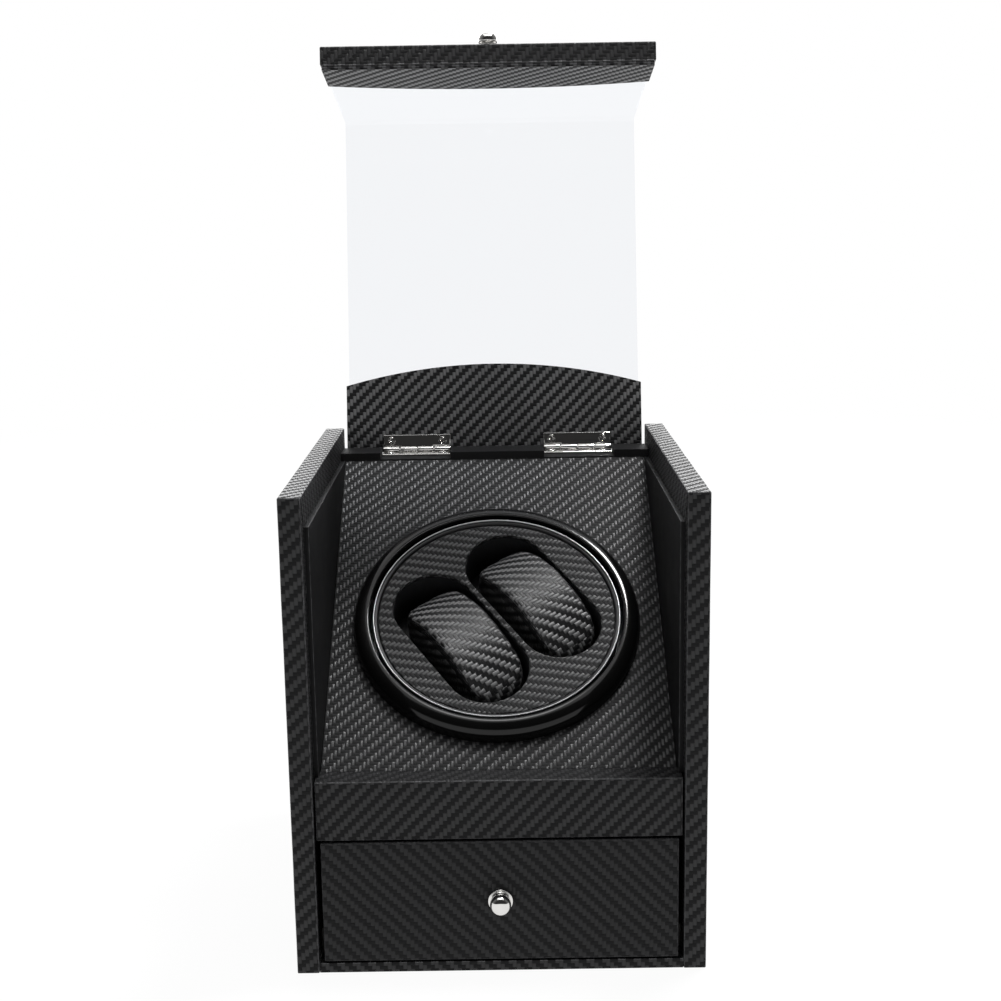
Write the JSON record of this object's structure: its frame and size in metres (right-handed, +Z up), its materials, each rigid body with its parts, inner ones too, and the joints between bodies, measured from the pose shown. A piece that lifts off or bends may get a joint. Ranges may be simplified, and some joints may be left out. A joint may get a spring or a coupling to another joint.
{
  "type": "watch winder box",
  "caption": "Leather-covered case with a clear bent lid, a tilted turntable for watch pillows and a drawer below.",
  "frame": {"origin": "centre of the case's footprint, on the surface that it stands on", "axes": "+Z up, -Y towards the front of the case, +X to the right seen from the front"},
  "size_m": [0.175, 0.2227, 0.3998],
  "materials": {
    "carbon_leather": "embossed woven pattern, semi-gloss",
    "plain_leather": "fine grain, satin",
    "felt": "short flocked pile",
    "board_wood": "black painted fibreboard",
    "gloss_black": "polished",
    "satin_rim": "satin plated edge",
    "black_plastic": "moulded, satin",
    "steel": "zinc plated",
    "brass": "turned",
    "white_acetal": "moulded",
    "nickel": "polished nickel plate",
    "clear_acrylic": "clear, polished",
    "circuit_green": "solder mask"
  },
  "bodies": {
    "case": {"side_panel_left": "carbon_leather", "side_panel_right": "carbon_leather", "bottom_board": "carbon_leather", "base_felt": "felt", "back_panel": "plain_leather", "rear_crossbar": "plain_leather", "divider_board": "board_wood", "fascia": "carbon_leather", "lining_left": "plain_leather", "lining_right": "plain_leather", "tilted_panel": "carbon_leather", "panel_cleats": "board_wood", "bezel_ring": "gloss_black", "motor_bracket": "steel", "bracket_posts": "steel", "bracket_screws": "steel", "spindle_bush": "brass", "gearbox_cover": "black_plastic", "idler_pin": "steel", "motor_can": "steel", "control_board": "circuit_green", "board_standoffs": "black_plastic", "dc_jack": "black_plastic", "mode_switch": "black_plastic", "drawer_runners": "board_wood", "drawer_stop": "board_wood", "hinge_leaves_lower": "nickel", "hinge_pins": "nickel", "hinge_screws_lower": "nickel"},
    "lid": {"lid_window": "clear_acrylic", "lid_rear_board": "carbon_leather", "lid_front_board": "carbon_leather", "lid_rear_liner": "carbon_leather", "lid_front_liner": "carbon_leather", "hinge_leaves_upper": "nickel", "hinge_screws_upper": "nickel", "lid_knob": "nickel", "lid_knob_screw": "nickel"},
    "drawer": {"drawer_front": "carbon_leather", "drawer_bottom": "board_wood", "drawer_side_left": "board_wood", "drawer_side_right": "board_wood", "drawer_back": "board_wood", "drawer_lining": "felt", "drawer_knob": "nickel", "drawer_knob_screw": "nickel"},
    "turntable": {"turntable_cup": "black_plastic", "turntable_face": "carbon_leather", "turntable_rim": "satin_rim", "well_left": "black_plastic", "well_right": "black_plastic", "turntable_spindle": "steel", "output_gear": "white_acetal", "spindle_clip": "steel"},
    "left_pillow": {"pillow_left": "carbon_leather"},
    "right_pillow": {"pillow_right": "carbon_leather"},
    "idler": {"idler_gear": "white_acetal"},
    "motor_rotor": {"motor_pinion": "brass", "motor_shaft": "steel"},
    "switch_knob": {"mode_knob": "black_plastic"}
  },
  "joints": [
    {"name": "lid_hinge", "type": "hinge", "parent": "case", "child": "lid", "pos_m": [0, 0.0864, 0.1969], "axis": [1, 0, 0], "range_deg": [0, 101.5]},
    {"name": "drawer_slide", "type": "slide", "parent": "case", "child": "drawer", "axis": [0, -1, 0], "range_m": [0, 0.11]},
    {"name": "turntable_spin", "type": "hinge", "parent": "case", "child": "turntable", "pos_m": [0, -0.01375, 0.13317], "axis": [0, -0.5948, 0.8039], "continuous": true},
    {"name": "left_pillow_lift", "type": "slide", "parent": "turntable", "child": "left_pillow", "axis": [0, -0.5948, 0.8039], "range_m": [0, 0.045]},
    {"name": "right_pillow_lift", "type": "slide", "parent": "turntable", "child": "right_pillow", "axis": [0, -0.5948, 0.8039], "range_m": [0, 0.045]},
    {"name": "idler_spin", "type": "hinge", "parent": "case", "child": "idler", "pos_m": [-0.02412, -0.01375, 0.13317], "axis": [0, -0.5948, 0.8039], "continuous": true},
    {"name": "motor_spin", "type": "hinge", "parent": "case", "child": "motor_rotor", "pos_m": [-0.03093, -0.00201, 0.14186], "axis": [0, -0.5948, 0.8039], "continuous": true},
    {"name": "switch_turn", "type": "hinge", "parent": "case", "child": "switch_knob", "pos_m": [0, 0.091, 0.096], "axis": [0, 1, 0], "range_deg": [0, 135]}
  ],
  "couplings": [
    {"joint": "idler_spin", "follows": "turntable_spin", "ratio": -4},
    {"joint": "motor_spin", "follows": "turntable_spin", "ratio": 12}
  ]
}
